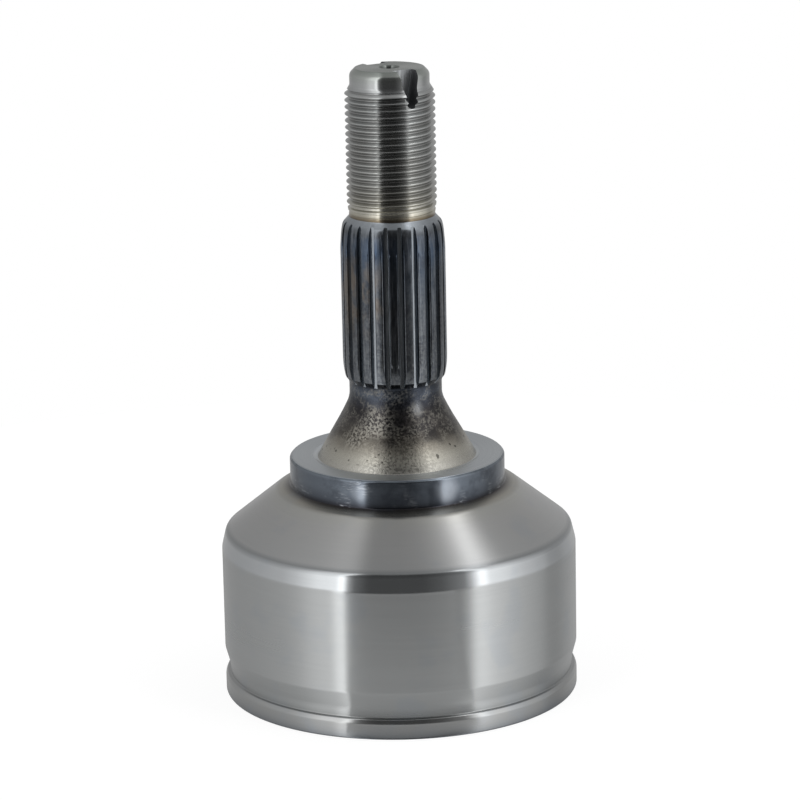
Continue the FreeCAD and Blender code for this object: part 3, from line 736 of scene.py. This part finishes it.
class CVJOINT_OT_outer_race(bpy.types.Operator):
    """Models the bell with its shoulder, flare, spline and thread as one piece"""
    bl_idname = "cvjoint.outer_race"
    bl_label = "Outer race"

    def execute(self, context):
        scene = context.scene
        bell, stub, bearing = scene.cvjoint_bell, scene.cvjoint_stub, scene.cvjoint_bearing
        tones = scene.cvjoint_finishes
        race = draw("outer_race", [(0.0, 0.0)] + outer_outline(bell, stub))
        turn_round(race, bell.segments)
        socket = turn_round(draw("socket", socket_outline(bell, bearing)), bell.segments)
        carve(race, socket)
        carve(race, ball_track("tracks", bearing, bearing.centre - bearing.offset, -45, 32))
        carve(race, self.spline_gaps(stub))
        carve(race, self.thread(bell, stub), "UNION")
        carve(race, self.staking_slots(stub))
        finish_piece(race, "outer_race", "outer_race", turned_steel(tones))
        shoulder, top = bell.shoulder / MM, bell.shoulder_top / MM
        foot, seat, teeth, stem, nose = 47.6, 53.5, 72.3, 108.3, 136.5
        face_finish(race, tempered_shoulder(), lambda at, way: (
            at.xy.length > shoulder - 0.6 and foot < at.z < top))
        face_finish(race, turned_seat(), lambda at, way: (
            17.5 < at.xy.length < shoulder - 0.4 and seat < at.z < top + 0.1))
        face_finish(race, scaled_flare(tones), lambda at, way: (
            9.0 < at.xy.length < 17.7 and seat < at.z < teeth))
        face_finish(race, blued_spline(tones), lambda at, way: teeth <= at.z < stem)
        face_finish(race, rolled_thread(tones), lambda at, way: stem <= at.z < nose)
        face_finish(race, turned_nose(tones), lambda at, way: at.z >= nose)
        floor, lip = bell.floor / MM + 0.1, 34.1
        face_finish(race, ground_socket(), lambda at, way: (
            at.z < floor and at.xy.length < lip and way.xy.dot(at.xy) < 1.0
            and (at.xy.length < lip - 0.2 or at.z > 0.001)))
        outward = Vector((math.sin(stub.slot_azimuth), -math.cos(stub.slot_azimuth), 0))
        beside = Vector((outward.y, -outward.x, 0))
        half, deep, low = stub.slot_half / MM, stub.slot_floor / MM, stub.slot_low / MM - 0.2
        face_finish(race, milled_slot(), lambda at, way: (
            at.z > low and abs(at.dot(beside)) < half and deep - 0.1 < abs(at.dot(outward)) < 10.5
            and (abs(at.dot(outward)) < deep + 0.01 or abs(way.dot(outward)) < 0.25)
            and way.z < 0.999))
        return {"FINISHED"}

    def spline_gaps(self, stub):
        """Gaps between the hub teeth: flat floor, straight flanks, rolled-over tip edges."""
        tip, root = stub.tip / MM, stub.root / MM
        low, high = 70.0, 108.4
        gap = draw("gaps", mirrored([
            (-0.375, -root),
            (-0.60, -tip + 0.35),
            (-0.70, -tip + 0.17),
            (-0.84, -tip + 0.05),
            (-1.20, -tip - 0.09),
        ]))
        turn(math.radians(90), "X")
        bpy.ops.transform.translate(value=(0, 0, low * MM))
        fill_and_push(gap, (0, 0, high - low))
        return repeat_round(gap, stub.teeth, math.pi / stub.teeth)

    def thread(self, bell, stub):
        """Rolled thread: one pitch of its outline screwed up the stub, then cut to the blank."""
        crest, root, pitch = stub.crest / MM, stub.thread_root / MM, stub.pitch / MM
        low, full, top = 108.6, stub.thread_low / MM, stub.height / MM
        start = stub.groove_start / MM - 2 * pitch
        chain = draw("thread", [
            (root, start),
            (root, start + 0.15, 0.13),
            (crest + 0.19, start + 0.75, 0.34),
            (root, start + 1.35, 0.13),
            (root, start + pitch),
        ])
        bpy.ops.mesh.screw(steps=108, turns=1, center=(0, 0, 0), axis=(0, 0, -1))
        bpy.ops.object.mode_set(mode="OBJECT")
        bpy.ops.object.modifier_add(type="ARRAY")
        turns = chain.modifiers[-1]
        turns.count = 27
        turns.use_relative_offset = False
        turns.use_constant_offset = True
        turns.constant_offset_displace = (0, 0, stub.pitch)
        turns.use_merge_vertices = True
        turns.merge_threshold = 1e-6
        bpy.ops.object.modifier_apply(modifier=turns.name)
        bpy.ops.object.mode_set(mode="EDIT")
        for height, above in ((143.02 * MM, True), ((low - 0.3) * MM, False)):
            bpy.ops.mesh.select_all(action="SELECT")
            bpy.ops.mesh.bisect(plane_co=(0, 0, height), plane_no=(0, 0, 1), use_fill=True,
                                clear_outer=above, clear_inner=not above, threshold=1e-8)
        close_up()
        blank = draw("blank", [
            (0.0, low),
            (9.49, low),
            (crest + 0.02, full + 0.15),
            (crest + 1.0, full + 0.2),
            (crest + 1.0, 133.9),
            (8.78, 137.4, 0.3),
            (8.78, top - 1.2, 0.5),
            (7.6, top, 0.15),
            (2.3, top, 0.12),
            (1.3, top - 1.7),
            (1.3, top - 5.5),
            (0.0, top - 6.15),
        ])
        turn_round(blank, bell.segments)
        carve(chain, blank, "INTERSECT")
        return chain

    def staking_slots(self, stub):
        """Two slots, wide at the end face, that the nut's collar is staked into."""
        top, half, radius = stub.height / MM + 2.2, stub.slot_half / MM, stub.slot_radius / MM
        bend = stub.slot_low / MM + radius
        slot = draw("slots", [
            (-half, top),
            (-radius, bend),
            ("arc", 0.0, bend, 180, 14),
            (half, top),
            (-half, top),
        ])
        bpy.ops.transform.translate(value=(0, -stub.slot_floor, 0))
        fill_and_push(slot, (0, -8.0, 0))
        return repeat_round(slot, 2, stub.slot_azimuth)


class CVJOINT_OT_inner_race(bpy.types.Operator):
    """Models the ball-shaped hub with its tracks and splined bore"""
    bl_idname = "cvjoint.inner_race"
    bl_label = "Inner race"

    def execute(self, context):
        bearing = context.scene.cvjoint_bearing
        centre, radius, half = bearing.centre / MM, bearing.hub / MM, bearing.hub_half / MM
        low, high = centre - half, centre + half
        rise = half - 0.7
        edge = math.sqrt(radius ** 2 - rise ** 2)
        face = math.sqrt(radius ** 2 - half ** 2) - 0.7
        swing = math.degrees(math.asin(rise / radius))
        ring = high - bearing.ring_depth / MM
        bore = bearing.bore / MM
        race = draw("inner_race", [
            (11.7, low, 0.1),
            (face, low, 0.2),
            (edge, low + 0.7),
            ("arc", 0.0, centre, 2 * swing, 24),
            (face, high, 0.2),
            (11.5, high, 0.1),
            (bore, high - 0.4),
            (bore, ring + 1.0, 0.08),
            (12.0, ring + 1.0, 0.2),
            (12.0, ring - 1.0, 0.2),
            (bore, ring - 1.0, 0.08),
            (bore, low + 3.5),
            (11.2, low + 3.0),
            (11.2, low + 0.5),
            (11.7, low, 0.1),
        ])
        turn_round(race, 312)
        carve(race, ball_track("tracks", bearing, bearing.centre + bearing.offset, -50, 52))
        gap = draw("bore_gaps", mirrored([(-0.75, 0.5 - bore), (-0.425, -0.8 - bore)]))
        turn(math.radians(90), "X")
        bpy.ops.transform.translate(value=(0, 0, (low + 3.0) * MM))
        fill_and_push(gap, (0, 0, 2 * half))
        carve(race, repeat_round(gap, bearing.bore_teeth))
        finish_piece(race, "inner_race", "inner_race", case_hardened())
        return {"FINISHED"}


class CVJOINT_OT_cage(bpy.types.Operator):
    """Models the spherical ring with a window for each ball"""
    bl_idname = "cvjoint.cage"
    bl_label = "Cage"

    def execute(self, context):
        bearing = context.scene.cvjoint_bearing
        centre, half = bearing.centre / MM, bearing.cage_half / MM
        outer, inner = bearing.cage_outer / MM, bearing.cage_inner / MM
        rim = math.sqrt(outer ** 2 - half ** 2) - 0.6
        edge = math.sqrt(outer ** 2 - (half - 0.6) ** 2)
        sill = math.sqrt(inner ** 2 - half ** 2)
        out_swing = math.degrees(math.asin((half - 0.6) / outer))
        in_swing = math.degrees(math.asin(half / inner))
        cage = draw("cage", [
            (sill, centre - half),
            (rim, centre - half, 0.15),
            (edge, centre - half + 0.6),
            ("arc", 0.0, centre, 2 * out_swing, 24),
            (rim, centre + half, 0.15),
            (sill, centre + half),
            ("arc", 0.0, centre, -2 * in_swing, 24),
        ])
        turn_round(cage, 240)
        side = bearing.ball / MM + 1.35
        rise = bearing.ball / MM + 0.32
        window = draw("windows", [
            (0.0, centre - rise),
            (side, centre - rise, 4.0),
            (side, centre + rise, 4.0),
            (-side, centre + rise, 4.0),
            (-side, centre - rise, 4.0),
            (0.0, centre - rise),
        ])
        bpy.ops.transform.translate(value=(0, -17 * MM, 0))
        fill_and_push(window, (0, -17.0, 0))
        carve(cage, repeat_round(window, bearing.count))
        coat = phosphated_cage(context.scene.cvjoint_finishes)
        finish_piece(cage, "cage", "cage", coat)
        return {"FINISHED"}


class CVJOINT_OT_balls(bpy.types.Operator):
    """Models one ball and sets a copy of it in each track"""
    bl_idname = "cvjoint.balls"
    bl_label = "Balls"

    def execute(self, context):
        bearing = context.scene.cvjoint_bearing
        lapped = bearing_ball(context.scene.cvjoint_finishes)
        deselect()
        bpy.ops.mesh.primitive_cube_add(size=2 * bearing.ball)
        first = context.object
        bpy.ops.object.mode_set(mode="EDIT")
        bpy.ops.mesh.subdivide(number_cuts=15)
        bpy.ops.mesh.select_all(action="SELECT")
        bpy.ops.transform.tosphere(value=1.0)
        bpy.ops.object.mode_set(mode="OBJECT")
        size = sum(vertex.co.length for vertex in first.data.vertices) / len(first.data.vertices)
        bpy.ops.transform.resize(value=(bearing.ball / size,) * 3)
        bpy.ops.transform.translate(value=(0, -bearing.ball_circle, bearing.centre))
        bpy.ops.object.transform_apply()
        for number in range(1, bearing.count + 1):
            activate(first)
            bpy.ops.object.duplicate()
            ball = context.object
            turn((number - 1) * FULL_TURN / bearing.count)
            bpy.ops.object.transform_apply()
            name = "ball_%d" % number
            finish_piece(ball, name, name, lapped, 180)
        bpy.data.objects.remove(first)
        return {"FINISHED"}


class CVJOINT_OT_snap_ring(bpy.types.Operator):
    """Bends the open wire ring that holds the drive shaft"""
    bl_idname = "cvjoint.snap_ring"
    bl_label = "Snap ring"

    def execute(self, context):
        bearing = context.scene.cvjoint_bearing
        middle = bearing.bore - 0.75 * MM + bearing.wire
        height = bearing.centre + bearing.hub_half - bearing.ring_depth
        deselect()
        bpy.ops.mesh.primitive_circle_add(vertices=24, radius=bearing.wire, fill_type="NGON",
                                          location=(middle, 0, height),
                                          rotation=(math.radians(90), 0, 0))
        ring = context.object
        bpy.ops.object.transform_apply()
        edit_all()
        bpy.ops.mesh.spin(steps=108, angle=math.radians(324), center=(0, 0, 0), axis=(0, 0, 1))
        bpy.ops.mesh.select_all(action="SELECT")
        bpy.ops.mesh.remove_doubles(threshold=MERGE)
        close_up()
        drawn = spring_wire(context.scene.cvjoint_finishes)
        finish_piece(ring, "inner_race", "snap_ring", drawn)
        return {"FINISHED"}


class CVJOINT_OT_studio(bpy.types.Operator):
    """Sets up the floor, the soft studio light and the camera"""
    bl_idname = "cvjoint.studio"
    bl_label = "Studio"

    def execute(self, context):
        scene = context.scene
        scene.view_settings.view_transform = "Standard"
        scene.world = bpy.data.worlds.new("light_tent")
        scene.world.use_nodes = True
        self.light_tent(scene.world.node_tree)
        self.table()
        self.front_card()
        deselect()
        bpy.ops.object.camera_add(location=(0.00090, -0.79182, 0.27058),
                                  rotation=(math.radians(75.514), 0, 0))
        camera = context.object
        bpy.ops.transform.rotate(value=math.radians(1.160), orient_axis="Z", orient_type="LOCAL")
        focal_pixels, picture_pixels, sensor = 3664, 800, 36
        camera.data.lens = focal_pixels * sensor / picture_pixels
        camera.data.clip_start, camera.data.clip_end = 0.01, 10
        scene.camera = camera
        return {"FINISHED"}

    def light_tent(self, tree):
        """Lights by direction: tall soft boxes left and right, a dim front, a softer roof and
        table. The camera sees plain white."""
        tree.nodes.clear()
        way = node(tree, "SeparateXYZ", _0=node(tree, "TexCoord").outputs["Generated"]).outputs
        bearing = maths(tree, "ARCTAN2", way["X"], maths(tree, "MULTIPLY", way["Y"], -1.0))
        around = maths(tree, "MULTIPLY_ADD", bearing, 1 / FULL_TURN, 0.5)
        across = maths(tree, "MULTIPLY_ADD", way["X"], 0.5, 0.5)
        walls, skirt, roof = (
            node(tree, "ValToRGB", None,
                 [(place / span + 0.5, light / STRONGEST) for place, light in lights],
                 Fac=share).outputs[0]
            for lights, share, span in (
                (WALL_LIGHTS, around, 360), (TABLE_LIGHTS, around, 360), (ROOF_LIGHTS, across, 2)))
        risen, vaulted = (ease(tree, way["Z"], *heights) for heights in (HORIZON, VAULT))
        sides = node(tree, "Mix", {"data_type": "RGBA"}, _0=risen, _6=skirt, _7=walls)
        tent = node(tree, "Mix", {"data_type": "RGBA"}, _0=vaulted, _6=sides.outputs[2], _7=roof)
        light = node(tree, "Background", Color=tent.outputs[2], Strength=STRONGEST)
        white = node(tree, "Background", Color=(1, 1, 1, 1), Strength=1.0)
        path = node(tree, "LightPath").outputs
        seen = maths(tree, "MAXIMUM", path["Is Camera Ray"], path["Is Transmission Ray"])
        shown = node(tree, "MixShader", _0=seen, _1=light.outputs[0], _2=white.outputs[0])
        node(tree, "OutputWorld", Surface=shown.outputs[0])

    def table(self):
        """A white table that only keeps a faint shadow. It is open under the bell and seen from
        above only, where its faces show their backs, so that the mouth can be looked into."""
        hole, edge, height = 37.0, 260.0, -0.02
        table = turn_round(draw("table", [(hole, height), (edge, height)]), 96)
        paper, tree = bare_material("white_paper")
        matt = node(tree, "BsdfDiffuse", Color=(0.8, 0.8, 0.8, 1.0))
        glow = node(tree, "Emission", Color=(1, 1, 1, 1), Strength=1.25)
        lit = node(tree, "MixShader", _0=0.3, _1=glow.outputs[0], _2=matt.outputs[0])
        clear = node(tree, "BsdfTransparent")
        above = node(tree, "NewGeometry").outputs["Backfacing"]
        shown = node(tree, "MixShader", _0=above, _1=clear.outputs[0], _2=lit.outputs[0])
        node(tree, "OutputMaterial", Surface=shown.outputs[0])
        paper.cycles.emission_sampling = "NONE"
        table.data.materials.append(paper)
        table.visible_diffuse = table.visible_glossy = table.visible_shadow = False

    def front_card(self):
        """A grey card on the table before the bell, seen only in reflections: the patch of light that
        a near table gives low down in polished steel. Higher up the dim room shows instead."""
        deselect()
        bpy.ops.mesh.primitive_grid_add(x_subdivisions=1, y_subdivisions=1, size=1.0)
        card = bpy.context.object
        card.name = "front_card"
        bpy.ops.object.mode_set(mode="EDIT")
        near_edge, far_edge, height = -40.2 * MM, -175.0 * MM, -0.1 * MM
        for side, near, far in ((-1, 14.0 * MM, 112.0 * MM), (1, 23.0 * MM, 106.3 * MM)):
            pick("VERT", lambda vertex: vertex.co.x * side > 0 and vertex.co.y > 0)
            bpy.ops.transform.translate(value=(side * (near - 0.5), near_edge - 0.5, height))
            pick("VERT", lambda vertex: vertex.co.x * side > 0.4 and vertex.co.y < 0)
            bpy.ops.transform.translate(value=(side * (far - 0.5), far_edge + 0.5, height))
        bpy.ops.object.mode_set(mode="OBJECT")
        grey, tree = bare_material("grey_card")
        glow = node(tree, "Emission", Color=(1, 1, 1, 1), Strength=0.57)
        node(tree, "OutputMaterial", Surface=glow.outputs[0])
        grey.cycles.emission_sampling = "NONE"
        card.data.materials.append(grey)
        card.visible_camera = card.visible_diffuse = False


class CVJOINT_PT_panel(bpy.types.Panel):
    """Lists the pieces of the joint in the order they are made"""
    bl_idname = "CVJOINT_PT_panel"
    bl_label = "CV joint"
    bl_space_type = "VIEW_3D"
    bl_region_type = "UI"
    bl_category = "CV Joint"

    def draw(self, context):
        for operator in OPERATORS:
            self.layout.operator(operator.bl_idname)
        for name in GROUPS:
            box = self.layout.box()
            group = getattr(context.scene, name)
            for setting in group.__annotations__:
                box.prop(group, setting)


OPERATORS = (
    CVJOINT_OT_outer_race,
    CVJOINT_OT_inner_race,
    CVJOINT_OT_cage,
    CVJOINT_OT_balls,
    CVJOINT_OT_snap_ring,
    CVJOINT_OT_studio,
)
GROUPS = {
    "cvjoint_bell": BellSizes,
    "cvjoint_stub": StubSizes,
    "cvjoint_bearing": BearingSizes,
    "cvjoint_finishes": Finishes,
}


def register():
    for item in (*GROUPS.values(), *OPERATORS, CVJOINT_PT_panel):
        bpy.utils.register_class(item)
    for name, group in GROUPS.items():
        setattr(bpy.types.Scene, name, PointerProperty(type=group))


def unregister():
    for name in GROUPS:
        delattr(bpy.types.Scene, name)
    for item in reversed((*GROUPS.values(), *OPERATORS, CVJOINT_PT_panel)):
        bpy.utils.unregister_class(item)


def main():
    register()
    bpy.ops.cvjoint.studio()
    bpy.ops.cvjoint.outer_race()
    bpy.ops.cvjoint.inner_race()
    bpy.ops.cvjoint.cage()
    bpy.ops.cvjoint.balls()
    bpy.ops.cvjoint.snap_ring()


if __name__ == "__main__":
    main()
